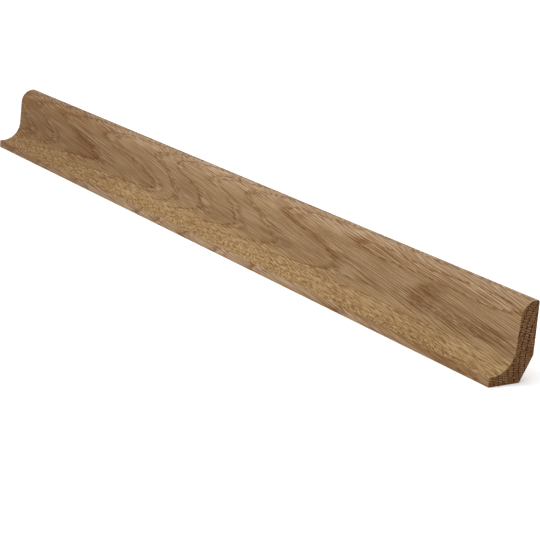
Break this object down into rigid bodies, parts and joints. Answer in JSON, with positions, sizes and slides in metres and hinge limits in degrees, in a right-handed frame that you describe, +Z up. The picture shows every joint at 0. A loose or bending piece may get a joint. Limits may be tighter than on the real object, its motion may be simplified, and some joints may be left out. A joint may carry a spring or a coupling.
{
  "type": "cove threshold strip",
  "caption": "Solid oak cove moulding strip: an upright leg with a rounded top curves into a thin foot, covering the corner where a threshold or floor meets an upright.",
  "frame": {"origin": "middle of the strip's underside: half way along its length, half way between back face and nose, at floor level", "axes": "+X along the strip, -Y out of the moulded front, +Y into the wall behind it, +Z up the leg"},
  "size_m": [0.45, 0.022, 0.034],
  "materials": {
    "oak": "planed and oiled, with bare sawn ends"
  },
  "bodies": {
    "root": {"oak_cove_strip": "oak"}
  },
  "joints": []
}
